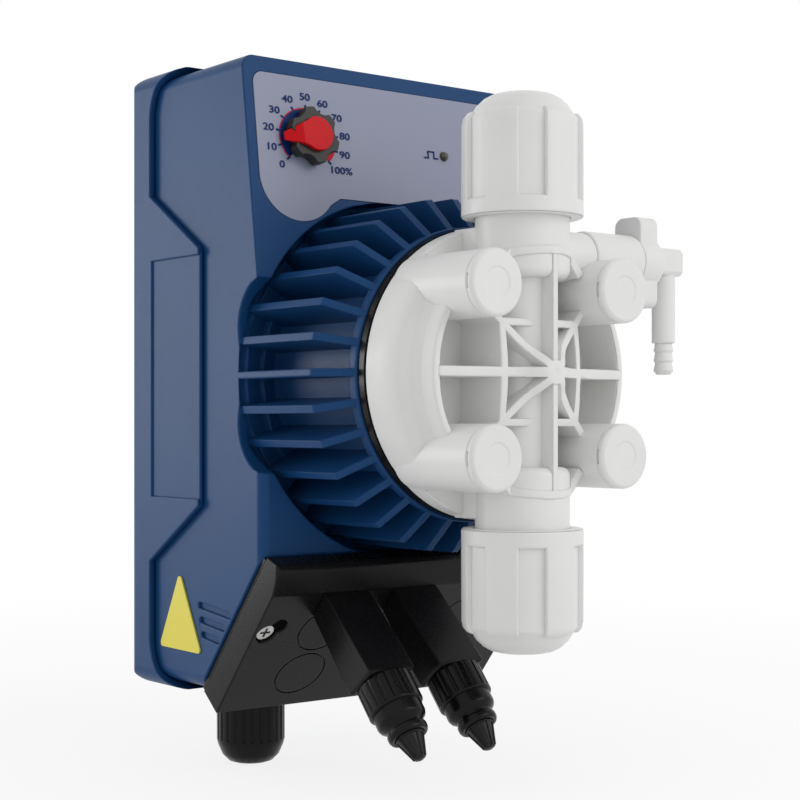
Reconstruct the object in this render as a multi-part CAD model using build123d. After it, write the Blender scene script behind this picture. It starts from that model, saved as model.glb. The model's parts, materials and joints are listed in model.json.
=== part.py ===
from build123d import *
import os
from math import atan2, cos, degrees, radians, sin, tan

# Wall-mounted solenoid diaphragm metering pump, in millimetres.
# X runs across the casing, Y from the pump head back to the wall, Z up.
# The origin is the middle of the four wall screws, on the wall.

# Casing
CASE_W = 107.0            # front housing, side to side
CASE_BOTTOM = -35.0
CASE_TOP = 159.0
CASE_BACK = -20.0         # where the front housing meets its gasket
CASE_FRONT = -83.3        # lower front face
CASE_CORNER = 4.5
CASE_WALL = 3.0
PANEL_START = 72.0        # height at which the front starts to lean back
PANEL_LEAN = 7.4          # degrees
COVER_LAP = 2.3           # the rear cover stands proud of the front housing
COVER_BACK = -7.0
COVER_WALL = 3.0
FIT_GAP = 0.15            # gap between moulded parts that nest

LOUVRES = [((-47.3, -9.0), (-66.0, -11.1)), ((-48.2, -13.5), (-62.6, -15.2)),
           ((-49.1, -18.0), (-59.4, -19.4))]     # ends as (Y, Z)

# Head axis, bell and fins
HEAD_Z = 62.0
BELL_R = 41.5
BELL_BORE_R = 38.7
BELL_FRONT = -117.0
BELL_END_WALL = 11.0
RIM_R = 44.0
FIN_COUNT = 32
FIN_R = 53.5
FIN_KNEE = -108.2
FIN_THICK = 2.3
POCKET_R = 55.2
POCKET_FLOOR = -70.3
BOSS_X = 24.56
BOSS_Z = 24.0
BOSS_R = 9.46
HEAD_BACK = -120.0
HEAD_R = 43.1
VALVE_Y = -138.4          # axis of the two valve necks
NUT_R = 17.6
NUT_LOW = 44.6            # ends of a union nut, measured from the head axis
NUT_TOP = 80.3

# Control panel
KNOB_X = -31.5
KNOB_Z = 135.0
KNOB_R = 8.8
KNOB_TOP = 4.9            # height over the panel
POINTER_TOP = 6.5
POINTER_R = 5.3
POINTER_TIP = 10.0
LED_X = 22.6
LED_Z = 134.7

# Terminal lid and cable entries
LID_W = 105.6
LID_THICK = 10.9
LID_SCREW_X = 48.3
LID_SCREW_ALONG = 22.0        # down the slope from its top edge
GLAND_X = -28.0
GLAND_Y = -38.0
CONNECTOR_X = (-25.7, 0.8)
CONNECTOR_TIP = (-123.5, -48.7)     # Y and Z of the cone's end
CONNECTOR_DIP = 48.7                # degrees below level
CHUTE_W = 17.0
CHUTE_HALF = 6.3                    # half its depth, square to the connector's axis
CHUTE_END = 26.4                    # distance behind the connector's tip

# Bleed valve
BLEED_Z = HEAD_Z + 34.5
SPOUT_X = 59.0

# Running fit between turning or sliding parts
RUN = 0.05


def save(part, node):
    """Write one sub-part to its own file."""
    part.label = node
    export_step(part, f"parts/{node}.step")


def at(x, y, z):
    return Location((x, y, z))


def rod(radius, y_back, y_front, x=0.0, z=HEAD_Z):
    """Cylinder along Y from y_back to y_front."""
    length = y_back - y_front
    return at(x, (y_back + y_front) / 2, z) * Rot(90, 0, 0) * Cylinder(radius, length)


def post(radius, z_low, z_high, x=0.0, y=0.0):
    """Cylinder along Z."""
    return at(x, y, (z_low + z_high) / 2) * Cylinder(radius, z_high - z_low)


def bar(radius, x_low, x_high, y, z):
    """Cylinder along X."""
    return at((x_low + x_high) / 2, y, z) * Rot(0, 90, 0) * Cylinder(radius, x_high - x_low)


def block(x_low, x_high, y_low, y_high, z_low, z_high):
    """Box between two corners."""
    middle = at((x_low + x_high) / 2, (y_low + y_high) / 2, (z_low + z_high) / 2)
    return middle * Box(x_high - x_low, y_high - y_low, z_high - z_low)


def turned_y(points, z=HEAD_Z):
    """Solid of revolution about the head axis, from (radius, y) points."""
    outline = make_face(Polyline(*[(radius, y, 0) for radius, y in points], close=True))
    return at(0, 0, z) * revolve(outline, Axis.Y, 360)


def turned_z(points, x=0.0, y=0.0):
    """Solid of revolution about a vertical axis, from (radius, z) points."""
    outline = make_face(Polyline(*[(radius, 0, z) for radius, z in points], close=True))
    return at(x, y, 0) * revolve(outline, Axis.Z, 360)


def side_prism(points, width):
    """Extrude a (y, z) outline across the casing."""
    outline = Plane.YZ * make_face(Polyline(*points, close=True))
    return extrude(outline, width / 2, both=True)


def front_rectangle(width, z_low, z_high, corner, y_back, y_front):
    """Rounded rectangle seen from the front, extruded along Y."""
    height = z_high - z_low
    sketch = RectangleRounded(width, height, corner)
    plane = Plane(origin=(0, y_back, (z_low + z_high) / 2), x_dir=(1, 0, 0), z_dir=(0, -1, 0))
    return extrude(plane * sketch, y_back - y_front)


def boss_points():
    """Centres of the four head screws, as (x, z)."""
    return [(sx * BOSS_X, HEAD_Z + sz * BOSS_Z) for sx in (-1, 1) for sz in (-1, 1)]


def panel_y(z):
    """Y of the leaning panel face at a height."""
    return CASE_FRONT + (z - PANEL_START) * tan(radians(PANEL_LEAN))


def panel_plane(x, z, lift=0.0):
    """Plane on the panel face, its normal pointing out of the panel."""
    lean = radians(PANEL_LEAN)
    normal = Vector(0, -cos(lean), sin(lean))
    origin = Vector(x, panel_y(z), z) + normal * lift
    return Plane(origin=origin, x_dir=(1, 0, 0), z_dir=normal)


# ---------------------------------------------------------------- casing

LID_CUT_LOW = (-48.2, CASE_BOTTOM)
LID_CUT_HIGH = (CASE_FRONT, 8.2)


def lid_slope(offset):
    """Two (y, z) points of the sloped lower front, moved out along its normal."""
    run = LID_CUT_HIGH[0] - LID_CUT_LOW[0]
    rise = LID_CUT_HIGH[1] - LID_CUT_LOW[1]
    size = (run * run + rise * rise) ** 0.5
    out_y = -rise / size * offset
    out_z = run / size * offset
    low = (LID_CUT_LOW[0] + out_y, LID_CUT_LOW[1] + out_z)
    high = (LID_CUT_HIGH[0] + out_y, LID_CUT_HIGH[1] + out_z)
    return low, high


def slope_plane(x, along, lift=0.0):
    """Plane on the housing's sloped lower front; along is measured down from its top."""
    low, high = lid_slope(lift)
    size = ((low[0] - high[0]) ** 2 + (low[1] - high[1]) ** 2) ** 0.5
    share = along / size
    y = high[0] + (low[0] - high[0]) * share
    z = high[1] + (low[1] - high[1]) * share
    normal = Vector(0, -(LID_CUT_HIGH[1] - LID_CUT_LOW[1]), LID_CUT_HIGH[0] - LID_CUT_LOW[0])
    return Plane(origin=(x, y, z), x_dir=(1, 0, 0), z_dir=normal.normalized())


def pocket():
    """Round recess about the bell, stepped inwards, opening through both sides."""
    well = turned_y([
        (0, -130), (POCKET_R + 2.0, -130), (POCKET_R + 2.0, -84.0), (POCKET_R, -77.0),
        (POCKET_R - 0.6, POCKET_FLOOR - 1.2), (POCKET_R - 2.4, POCKET_FLOOR), (51.5, POCKET_FLOOR),
        (51.3, -71.6), (46.4, -71.6), (46.2, -73.0), (BELL_R - 1, -73.0), (BELL_R - 1, -72.0),
        (0, -72.0),
    ])
    lower = [(-86.0, -29.0), (-79.0, -28.2), (-72.4, -22.0), (POCKET_FLOOR, -14.5)]
    upper = [(y, -z) for y, z in reversed(lower)]
    curve = Spline(*[(y, z + HEAD_Z) for y, z in lower + [(POCKET_FLOOR - 2.5, 0)] + upper])
    mouth = Polyline((-86, HEAD_Z + 29), (-130, HEAD_Z + 29), (-130, HEAD_Z - 29), (-86, HEAD_Z - 29))
    scoop = extrude(Plane.YZ * make_face(curve + mouth), CASE_W / 2 + 5, both=True)
    scoop -= rod(BELL_R + 4.7, -60, -140)
    return well + scoop


def fins():
    """Radial cooling fins that slope in to the rim at their front."""
    profile = make_face(Polyline((BELL_R - 2, -69, 0), (FIN_R, -69, 0), (FIN_R, FIN_KNEE, 0),
                                 (RIM_R - 0.2, -116.4, 0), (BELL_R - 2, -116.4, 0), close=True))
    fin = extrude(profile, FIN_THICK / 2, dir=(0, 0, 1), both=True)
    step = 360 / FIN_COUNT
    return [at(0, 0, HEAD_Z) * Rot(0, step * number, 0) * fin for number in range(FIN_COUNT)]


def case_outline():
    """Side outline of the front housing."""
    lean_top = panel_y(CASE_TOP)
    return [
        (CASE_BACK, CASE_BOTTOM), LID_CUT_LOW, LID_CUT_HIGH,
        (CASE_FRONT, PANEL_START), (lean_top, CASE_TOP), (CASE_BACK, CASE_TOP),
    ]


def front_housing():
    """Moulded front half: case, finned bell, panel seat and lid seat."""
    body = side_prism(case_outline(), CASE_W)
    body &= front_rectangle(CASE_W, CASE_BOTTOM, CASE_TOP, CASE_CORNER, 0, -130)
    plan = Pos(0, CASE_FRONT + 50) * RectangleRounded(CASE_W, 100, 3.0)
    body &= at(0, 0, -50) * extrude(plan, 230)
    body -= pocket()
    bell = turned_y([
        (0, -66), (BELL_R + 1.5, -66), (BELL_R + 0.6, -73.4), (BELL_R, -76), (BELL_R, -111.5),
        (RIM_R, -113.6), (RIM_R, BELL_FRONT), (0, BELL_FRONT),
    ])
    body += bell
    body += fins()
    # Inside: one box behind the bell, a higher one behind the panel, the round bell bore.
    inner_w = CASE_W - 2 * CASE_WALL
    hollow = front_rectangle(inner_w, CASE_BOTTOM + CASE_WALL, CASE_TOP - CASE_WALL, 2.0,
                             CASE_BACK + 1, -66.5)
    slope_low, slope_high = lid_slope(-CASE_WALL)
    hollow -= side_prism([slope_low, slope_high, (-90, 10), (-90, -60), (-30, -60)], CASE_W)
    panel_room = side_prism([(-60, 122), (panel_y(122) + CASE_WALL, 122),
                             (panel_y(156) + CASE_WALL, 156), (-60, 156)], inner_w)
    body -= hollow
    body -= panel_room
    body -= rod(BELL_BORE_R, -60, BELL_FRONT + BELL_END_WALL)
    body -= rod(20.5, -100, -120)
    for x, z in boss_points():
        body -= rod(4.0, -104, -118, x, z)
    body += screw_posts()
    # Louvre grooves low on each side
    for back, front in LOUVRES:
        length = ((back[0] - front[0]) ** 2 + (back[1] - front[1]) ** 2) ** 0.5
        middle = ((back[0] + front[0]) / 2, (back[1] + front[1]) / 2)
        dip = degrees(atan2(back[1] - front[1], back[0] - front[0]))
        groove = Plane.YZ * Pos(*middle) * Rot(0, 0, dip) * SlotOverall(length, 1.8)
        for side in (-1, 1):
            body -= at(side * CASE_W / 2, 0, 0) * extrude(groove, 1.0, both=True)
    # Seats and holes in the panel
    body -= extrude(panel_plane(KNOB_X, KNOB_Z, -6) * Circle(3.6), 8)
    body -= extrude(panel_plane(LED_X, LED_Z, -6) * Circle(2.3), 8)
    body -= overlay_solid(0.15, 0.35)
    # Lid screw holes, cable window and gland hole
    for side in (-1, 1):
        body -= extrude(slope_plane(side * LID_SCREW_X, LID_SCREW_ALONG, -9.5) * Circle(1.5), 12)
    body -= extrude(slope_plane(0, 27.0, -6) * RectangleRounded(78, 30, 3), 8)
    body -= post(8.1, -40, -25, GLAND_X, GLAND_Y)
    return body


def overlay_solid(grow, depth):
    """The panel film: straight top and sides, a round lobe at the lower left."""
    left, right = -50.0 - grow, 50.0 + grow
    top, low = 20.2 + grow, -17.0 - grow
    lobe_c = -36.2
    lobe_low = low - 8.2
    outline = Polyline((left + 3.5, top), (right - 3.5, top)) + \
        RadiusArc((right - 3.5, top), (right, top - 3.5), 3.5) + \
        Polyline((right, top - 3.5), (right, low + 3.5)) + \
        RadiusArc((right, low + 3.5), (right - 3.5, low), 3.5) + \
        Polyline((right - 3.5, low), (-20.6, low)) + \
        Polyline((-20.6, low), (-24.6, low - 2.4)) + \
        ThreePointArc((-24.6, low - 2.4), (lobe_c, lobe_low), (left, low + 5.0)) + \
        Polyline((left, low + 5.0), (left, top - 3.5)) + \
        RadiusArc((left, top - 3.5), (left + 3.5, top), 3.5)
    face = make_face(outline)
    return extrude(panel_plane(0, HEAD_Z + 72.0, -depth) * face, depth + 0.15)


def cover_outer():
    """Outer form of the rear cover, with the stepped front edge in its sides."""
    top = CASE_TOP + COVER_LAP
    bottom = CASE_BOTTOM - COVER_LAP
    back_r = 8.0
    bend = back_r * (1 - cos(radians(45)))
    outline = ThreePointArc((-38, top), (-26.6, top - 3.6), (-20.8, top - 14.8))
    outline += Polyline((-20.8, top - 14.8), (-20.8, HEAD_Z + 59), (-50.9, HEAD_Z + 40),
                        (-50.9, HEAD_Z - 40), (-20.8, HEAD_Z - 59), (-20.8, bottom + 14.8))
    outline += ThreePointArc((-20.8, bottom + 14.8), (-26.6, bottom + 3.6), (-38, bottom))
    outline += Line((-38, bottom), (COVER_BACK - back_r, bottom))
    outline += ThreePointArc((COVER_BACK - back_r, bottom), (COVER_BACK - bend, bottom + bend),
                             (COVER_BACK, bottom + back_r))
    outline += Line((COVER_BACK, bottom + back_r), (COVER_BACK, top - back_r))
    outline += ThreePointArc((COVER_BACK, top - back_r), (COVER_BACK - bend, top - bend),
                             (COVER_BACK - back_r, top))
    outline += Line((COVER_BACK - back_r, top), (-38, top))
    width = CASE_W + 2 * COVER_LAP
    outer = extrude(Plane.YZ * make_face(outline), width / 2, both=True)
    outer &= front_rectangle(width, bottom, top, 6.0, 0, -60)
    plan = Pos(0, COVER_BACK - 50) * RectangleRounded(width, 100, 5.0)
    outer &= at(0, 0, -50) * extrude(plan, 230)
    return outer


def rear_cover():
    """Tub that laps over the front housing, with ribs and the bracket rails."""
    body = cover_outer()
    gap = FIT_GAP
    body -= front_rectangle(CASE_W + 2 * gap, CASE_BOTTOM - gap, CASE_TOP + gap, CASE_CORNER + gap,
                            CASE_BACK + 1.5, -60)
    body -= front_rectangle(CASE_W - 5.4, CASE_BOTTOM + 2.7, CASE_TOP - 2.7, 3.0,
                            COVER_BACK - COVER_WALL, -30)
    # Shallow panel in each side, and screw columns with their holes
    for side in (-1, 1):
        x = side * (CASE_W / 2 + COVER_LAP)
        body -= block(x - 0.7, x + 0.7, -50.9, -22.0, HEAD_Z - 37.8, HEAD_Z + 37.8)
    for x, z in cover_screw_points():
        body += rod(4.6, COVER_BACK - 1, CASE_BACK + 2.0, x, z)
        body -= rod(2.2, 0, CASE_BACK - 1, x, z)
        body -= rod(4.0, 0, COVER_BACK - 4.0, x, z)
    for x in (-30, 30):
        body -= rod(1.4, 0, COVER_BACK - 3.4, x, 10.0)
    body -= post(10.6, -45, -30, GLAND_X, GLAND_Y)
    return body


def cover_screw_points():
    return [(x, z) for x in (-44.5, 44.5) for z in (-28.5, 62.0, 150.0)]


def cover_screws():
    """Six pan-head screws from the back into the front housing's posts."""
    screws = []
    for x, z in cover_screw_points():
        screw = rod(3.6, COVER_BACK - 1.2, COVER_BACK - 3.9, x, z)
        screw += rod(1.9, COVER_BACK - 3.8, CASE_BACK - 9, x, z)
        screw -= at(x, COVER_BACK - 1.2, z) * Box(4.2, 2.0, 0.8)
        screw -= at(x, COVER_BACK - 1.2, z) * Box(0.8, 2.0, 4.2)
        screws.append(screw)
    return Compound(screws)


def screw_posts():
    """Columns inside the front housing that take the rear cover's screws."""
    inside = side_prism(case_outline(), CASE_W)
    posts = []
    for x, z in cover_screw_points():
        front = -75.0 if z > PANEL_START + 50 else -67.5
        column = rod(4.2, CASE_BACK, front, x, z) - rod(1.95, 0, CASE_BACK - 12, x, z)
        posts.append(column & inside)
    return posts


def housing_gasket():
    """Flat ring between the front housing and the rear cover's ledge."""
    ring = front_rectangle(CASE_W - 0.4, CASE_BOTTOM + 0.2, CASE_TOP - 0.2, 4.3,
                           CASE_BACK + 1.4, CASE_BACK + 0.1)
    ring -= front_rectangle(CASE_W - 5.0, CASE_BOTTOM + 2.5, CASE_TOP - 2.5, 3.0,
                            CASE_BACK + 2, CASE_BACK - 1)
    return ring


def wall_bracket():
    """Plate screwed to the wall; the casing's back is screwed to it."""
    plate = side_prism([(0, -24), (-6.9, -24), (-6.9, 15), (-2.0, 23), (0, 23)], 100)
    plate &= front_rectangle(100, -24, 23, 3.0, 1, -10)
    for x in (-40, 40):
        for z in (-14, 14):
            plate -= rod(2.6, 1, -10, x, z)
            plate -= rod(5.2, -3.2, -10, x, z)
    for x in (-30, 30):
        plate -= rod(1.7, 1, -10, x, 10.0)
        plate -= rod(3.4, 1, -2.2, x, 10.0)
    plate -= block(-18, 18, -10, -4.6, -25, 12)
    return plate


def bracket_screws():
    screws = []
    for x in (-30, 30):
        screw = rod(3.0, -0.3, -2.15, x, 10.0)
        screw += rod(1.35, -2.1, COVER_BACK - 3.0, x, 10.0)
        screw -= at(x, -0.3, 10.0) * Box(3.6, 1.6, 0.8)
        screw -= at(x, -0.3, 10.0) * Box(0.8, 1.6, 3.6)
        screws.append(screw)
    return Compound(screws)


def warning_triangle():
    """Bare triangular plate on the left side."""
    x = -CASE_W / 2
    outline = make_face(Polyline((x, -36.6, 0.6), (x, -49.6, -24.2), (x, -24.2, -24.0), close=True))
    plate = extrude(outline, 0.5, dir=(-1, 0, 0))
    return fillet(plate.edges().filter_by(Axis.X), 1.2)


# ---------------------------------------------------------------- drive

COIL_BACK = -54.0
CAN_FRONT = BELL_FRONT + BELL_END_WALL + 0.2


def solenoid_can():
    """Steel yoke cup, open at the back, with the fixed pole in its front."""
    return turned_y([
        (6.4, CAN_FRONT), (38.3, CAN_FRONT), (38.3, COIL_BACK + 1.5), (34.6, COIL_BACK + 1.5),
        (34.6, CAN_FRONT + 5), (15.0, CAN_FRONT + 5), (13.0, CAN_FRONT + 12), (6.4, CAN_FRONT + 12),
    ])


def solenoid_back_plate():
    plate = turned_y([(15.6, COIL_BACK + 1.7), (38.3, COIL_BACK + 1.7), (38.3, COIL_BACK + 6.5),
                      (15.6, COIL_BACK + 6.5)])
    return plate


def coil_bobbin():
    """Plastic spool that the armature slides in."""
    front = CAN_FRONT + 5.1
    back = COIL_BACK + 1.6
    return turned_y([
        (15.2, front + 8), (15.2, back), (34.4, back), (34.4, back - 1.6), (17.2, back - 1.6),
        (17.2, front + 1.6), (34.4, front + 1.6), (34.4, front), (16.6, front), (16.6, front + 8),
    ])


def coil_winding():
    front = CAN_FRONT + 6.9
    back = COIL_BACK - 0.2
    return turned_y([(17.4, front), (33.6, front), (33.6, back), (17.4, back)])


def pole_bush():
    """Plain bearing for the shaft, pressed in the pole."""
    return turned_y([(4.0 + RUN, CAN_FRONT + 0.1), (6.3, CAN_FRONT + 0.1), (6.3, CAN_FRONT + 11.9),
                     (4.0 + RUN, CAN_FRONT + 11.9)])


ARMATURE_FRONT = CAN_FRONT + 13.6


def armature():
    """Moving steel core of the solenoid, with a spring seat in its front."""
    return turned_y([
        (4.1, ARMATURE_FRONT + 5.2), (9.6, ARMATURE_FRONT + 5.2), (9.6, ARMATURE_FRONT),
        (12.6, ARMATURE_FRONT), (15.1, ARMATURE_FRONT + 2.5), (15.1, -48.5), (14.1, -47.5),
        (4.1, -47.5),
    ])


def plunger_shaft():
    """Shaft from the armature to the diaphragm's insert."""
    return turned_y([
        (0, -46.5), (3.2, -46.5), (4.0, -47.3), (4.0, -113.0), (2.9, -113.2), (2.9, -117.6), (0, -117.6),
    ])


def return_spring():
    """Compression spring between the pole and the armature, closed at its ends."""
    front = CAN_FRONT + 12.4
    length = ARMATURE_FRONT + 4.9 - front
    pitch = length / 3.0
    wire_r = 0.7
    path = Helix(pitch=pitch, height=length - 2 * wire_r, radius=8.0)
    wire = Plane(origin=path @ 0, z_dir=path % 0) * Circle(wire_r)
    coil = sweep(wire, path=path)
    return at(0, front + wire_r, HEAD_Z) * Rot(-90, 0, 0) * coil


def head_inserts():
    """Threaded brass inserts in the bell's end wall."""
    pieces = []
    for x, z in boss_points():
        bush = rod(3.95, -106.3, -116.8, x, z)
        bush -= rod(2.55, -100, -120, x, z)
        pieces.append(bush)
    return Compound(pieces)


def backplate():
    """Black ring between the bell and the head; it supports the diaphragm."""
    plate = turned_y([
        (9.0, -117.1), (43.3, -117.1), (43.3, HEAD_BACK + 0.1), (24.0, HEAD_BACK + 0.1),
        (22.0, -118.9), (9.0, -118.9),
    ])
    for x, z in boss_points():
        plate -= rod(2.75, -110, -125, x, z)
    return plate


def diaphragm():
    """Rubber disc with a rolled bead, clamped at its edge."""
    return turned_y([
        (6.7, -119.2), (19.5, -119.2), (21.8, -120.2), (25.8, -120.2), (25.8, -121.9),
        (21.5, -121.9), (18.0, -121.4), (13.0, -122.2), (8.0, -121.4), (6.7, -121.4),
    ])


def diaphragm_insert():
    """Metal hub moulded in the diaphragm, screwed on the shaft's end."""
    return turned_y([
        (3.0, -113.4), (6.0, -113.4), (6.0, -118.8), (6.5, -119.0), (6.5, -122.2), (4.5, -123.0),
        (0, -123.0), (0, -117.8), (3.0, -117.8),
    ])


# ---------------------------------------------------------------- pump head

RIM_Y = -143.0
SQUARE_X = 14.2


def rib_dome():
    """Envelope of the ribs' front edges: a shallow trumpet rising to the hub."""
    curve = Spline((0, -152.8, 0), (3.4, -152.7, 0), (8.5, -149.2, 0), (SQUARE_X, -147.0, 0),
                   (36.0, RIM_Y, 0))
    wall = Polyline((36, RIM_Y, 0), (36, -122, 0), (0, -122, 0), (0, -152.8, 0))
    return at(0, 0, HEAD_Z) * revolve(make_face(curve + wall), Axis.Y, 360)


def rib(start, end, thick, y_front, y_back=-124.0):
    """Upright web between two (x, z) points measured from the head axis."""
    dx = end[0] - start[0]
    dz = end[1] - start[1]
    length = (dx * dx + dz * dz) ** 0.5
    plane = Plane(origin=(start[0], y_back, HEAD_Z + start[1]), x_dir=(dx, 0, dz), z_dir=(0, -1, 0))
    web = Pos(length / 2, 0) * Rectangle(length, thick)
    return extrude(plane * web, y_back - y_front)


def ribs():
    """Cross, square and diagonal webs in the mouth of the head."""
    s = SQUARE_X
    front = -156.0
    webs = rib((-35, 0), (35, 0), 2.9, front)
    for side in (-1, 1):
        webs += rib((side * s, -s), (side * s, s), 2.2, front)
        webs += rib((-s, side * s), (s, side * s), 2.2, front)
        for up in (-1, 1):
            webs += rib((0, 0), (side * s, up * s), 2.4, front)
            webs += rib((side * s, up * s), (side * (s + 3.5), up * (s + 3.5)), 2.2, front)
    webs += rod(3.5, -124, front)
    return webs & rib_dome()


NECK_R = 13.7
NECK_TOP = 54.0           # heights of the valves are measured from the head axis
STEM_R = 9.4              # tube between the two valves
SPINE_FRONT = -152.4       # front of the upright rib
HEAD_SCREW_SEAT = -128.0
BALL_R = 3.175
BALL_REST = 5.86          # ball centre above its seat's base
BALL_LIFT = 1.5
BALL_STOP = BALL_REST + BALL_R + BALL_LIFT + 0.15
SEAT_BASE = 38.7
HOSE_R = 3.15
GROOVE_ARC = 26.0
VIEW_TURN = 27.6          # turn of the nuts at rest
BLEED_STEP_X = 22.8
BLEED_FACE_X = 43.0
BLEED_R = 8.2
SPOUT_TAIL_R = 2.8
POINTER_TURN = 184.5
CABLE_R = 3.5
KNOCK_OUTS = [(-27.6, 22.0), (0.5, 22.0), (27.2, 22.0), (-28.0, 41.0)]


def head_shell():
    """Open cup on a flange, flattened above and below the bosses."""
    cup = turned_y([
        (0, HEAD_BACK - 0.1), (42.7, HEAD_BACK - 0.1), (HEAD_R, -120.5), (42.5, -129.5),
        (41.4, -132.4), (38.6, -135.2), (37.2, -138.0), (36.7, -142.4), (36.1, RIM_Y),
        (34.7, RIM_Y), (34.3, -142.4), (33.6, -129.0), (0, -129.0),
    ])
    for up in (-1, 1):
        middle = HEAD_Z + up * (33.6 + 15)
        cup -= at(0, -141, middle) * Box(100, 30, 30)
    return cup


def arch(up):
    """Curved web that ties the two bosses round the front of a valve neck."""
    outer = Polyline((-16.6, 29.0), (-12.0, 34.8)) + \
        ThreePointArc((-12.0, 34.8), (0, 35.8), (12.0, 34.8)) + \
        Polyline((12.0, 34.8), (16.6, 29.0), (14.6, 27.4), (10.8, 32.5)) + \
        ThreePointArc((10.8, 32.5), (0, 33.5), (-10.8, 32.5)) + \
        Polyline((-10.8, 32.5), (-14.6, 27.4), (-16.6, 29.0))
    if up < 0:
        outer = mirror(outer, Plane.XZ)
    facing = Plane(origin=(0, -124, HEAD_Z), x_dir=(1, 0, 0), z_dir=(0, -1, 0))
    band = extrude(facing * make_face(outer), 32)
    plan = post(NECK_R + 0.5, HEAD_Z - 50, HEAD_Z + 50, 0, VALVE_Y)
    plan += block(-20, 20, -146.5, -120, HEAD_Z - 50, HEAD_Z + 50)
    return band & plan


def neck(up):
    """Valve neck with a rounded foot, its web to the cup and the arch between the bosses."""
    def band(near, far):
        return sorted((HEAD_Z + up * near, HEAD_Z + up * far))

    body = post(NECK_R, *band(27.0, NECK_TOP), 0, VALVE_Y)
    foot = body.edges().filter_by(GeomType.CIRCLE).sort_by(Axis.Z)[0 if up > 0 else -1]
    body = fillet(foot, 2.6)
    body += arch(up)
    body += block(-12, 12, VALVE_Y, -122.0, *band(34.5, 42.0))
    body -= turned_y([(0, HEAD_BACK), (60, HEAD_BACK), (60, -100), (0, -100)])
    return body


def pump_head():
    """White moulding: ribbed cup, four screw bosses, two valve necks, bleed branch."""
    body = head_shell() + ribs()
    for x, z in boss_points():
        body += rod(BOSS_R, -121, -153.2, x, z)
    body += post(STEM_R, HEAD_Z - 32, HEAD_Z + 32, 0, VALVE_Y)
    body += block(-0.9, 0.9, SPINE_FRONT, VALVE_Y, HEAD_Z - 35, HEAD_Z + 35)
    body += block(-4.5, 4.5, VALVE_Y, -126, HEAD_Z - 32, HEAD_Z + 32)
    for up in (-1, 1):
        body += neck(up)
    body += bar(7.6, 6, BLEED_STEP_X, VALVE_Y, BLEED_Z)
    branch = bar(BLEED_R, BLEED_STEP_X, BLEED_FACE_X, VALVE_Y, BLEED_Z)
    body += chamfer(branch.edges().filter_by(GeomType.CIRCLE), 0.5)
    # Screw wells
    for x, z in boss_points():
        body -= rod(5.2, HEAD_SCREW_SEAT, -160, x, z)
        body -= rod(2.75, -110, -160, x, z)
    # Pumping chamber and passages
    body -= turned_y([(0, -110), (26.0, -110), (26.0, -122.0), (21.6, -122.0), (18.5, -122.6),
                      (12.0, -124.2), (0, -124.6)])
    body -= rod(2.2, -120, VALVE_Y)
    body -= post(2.2, HEAD_Z - 40, HEAD_Z + 40, 0, VALVE_Y)
    for up in (-1, 1):
        body -= post(9.05, *sorted((HEAD_Z + up * 38.5, HEAD_Z + up * 60)), 0, VALVE_Y)
    body -= bar(6.05, 20, 50, VALVE_Y, BLEED_Z)
    body -= bar(1.5, 0, 22, VALVE_Y, BLEED_Z)
    return body


def head_screws():
    """Four long socket screws at the bottom of the wells."""
    screws = []
    for x, z in boss_points():
        screw = rod(4.25, HEAD_SCREW_SEAT - 0.05, HEAD_SCREW_SEAT - 5.0, x, z)
        screw += rod(2.5, -107.0, HEAD_SCREW_SEAT - 1, x, z)
        socket = Plane(origin=(x, HEAD_SCREW_SEAT - 6, z), z_dir=(0, 1, 0)) * RegularPolygon(2.2, 6)
        screw -= extrude(socket, 3.5)
        screws.append(screw)
    return Compound(screws)


def boss_caps():
    """Push-in caps of the screw wells: a dished disc on a plug, with a pry slot."""
    caps = []
    for x, z in boss_points():
        face = -155.8
        disc = turned_y([
            (0, -153.3), (BOSS_R, -153.3), (BOSS_R, face + 0.9), (BOSS_R - 0.9, face),
            (4.4, face), (4.1, face + 0.25), (0, face + 0.25),
        ], z)
        cap = at(x, 0, 0) * disc
        cap += rod(5.1, -148.0, -153.4, x, z)
        cap -= rod(3.9, -140.0, -152.6, x, z)
        cap -= block(x - BOSS_R - 1, x - BOSS_R + 0.8, -153.9, -153.2, z - 2.0, z + 2.0)
        caps.append(cap)
    return Compound(caps)


def valve_seat(base):
    """Seat block: bore, cone for the ball and a groove for its ring."""
    return turned_z([
        (2.2, base), (9.0, base), (9.0, base + 1.2), (7.4, base + 1.2), (7.4, base + 3.0),
        (9.0, base + 3.0), (9.0, base + 5.3), (4.0, base + 5.3), (2.2, base + 3.5),
    ], 0, VALVE_Y)


def valve_cage(base):
    """Cage over the ball, with flow holes round its stop."""
    low = base + 5.4
    stop = base + BALL_STOP
    cage = turned_z([
        (4.4, low), (9.0, low), (9.0, base + 15.1), (5.2, base + 15.1), (5.2, stop + 2.0),
        (0, stop + 2.0), (0, stop), (4.4, stop),
    ], 0, VALVE_Y)
    for number in range(4):
        turn = Rot(0, 0, 90 * number + 45)
        cage -= at(0, VALVE_Y, 0) * turn * post(1.0, stop - 0.5, stop + 2.5, 3.3, 0)
    return cage


def valve_ball(base):
    return at(0, VALVE_Y, base + BALL_REST) * Sphere(BALL_R)


def seat_ring(base):
    """O-ring in the seat's groove."""
    return at(0, VALVE_Y, base + 2.1) * Torus(8.25, 0.78)


def hose_nipple(up):
    """Flanged tail that the hose is pushed over."""
    def z(height):
        return HEAD_Z + up * height

    return turned_z([
        (1.2, z(NECK_TOP + 0.05)), (13.2, z(NECK_TOP + 0.05)), (13.2, z(NECK_TOP + 2.0)),
        (5.0, z(NECK_TOP + 2.0)), (3.4, z(NECK_TOP + 4.5)), (1.95, z(NECK_TOP + 7.5)),
        (1.95, z(70.0)), (1.7, z(71.0)), (1.2, z(71.0)),
    ], 0, VALVE_Y)


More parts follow.
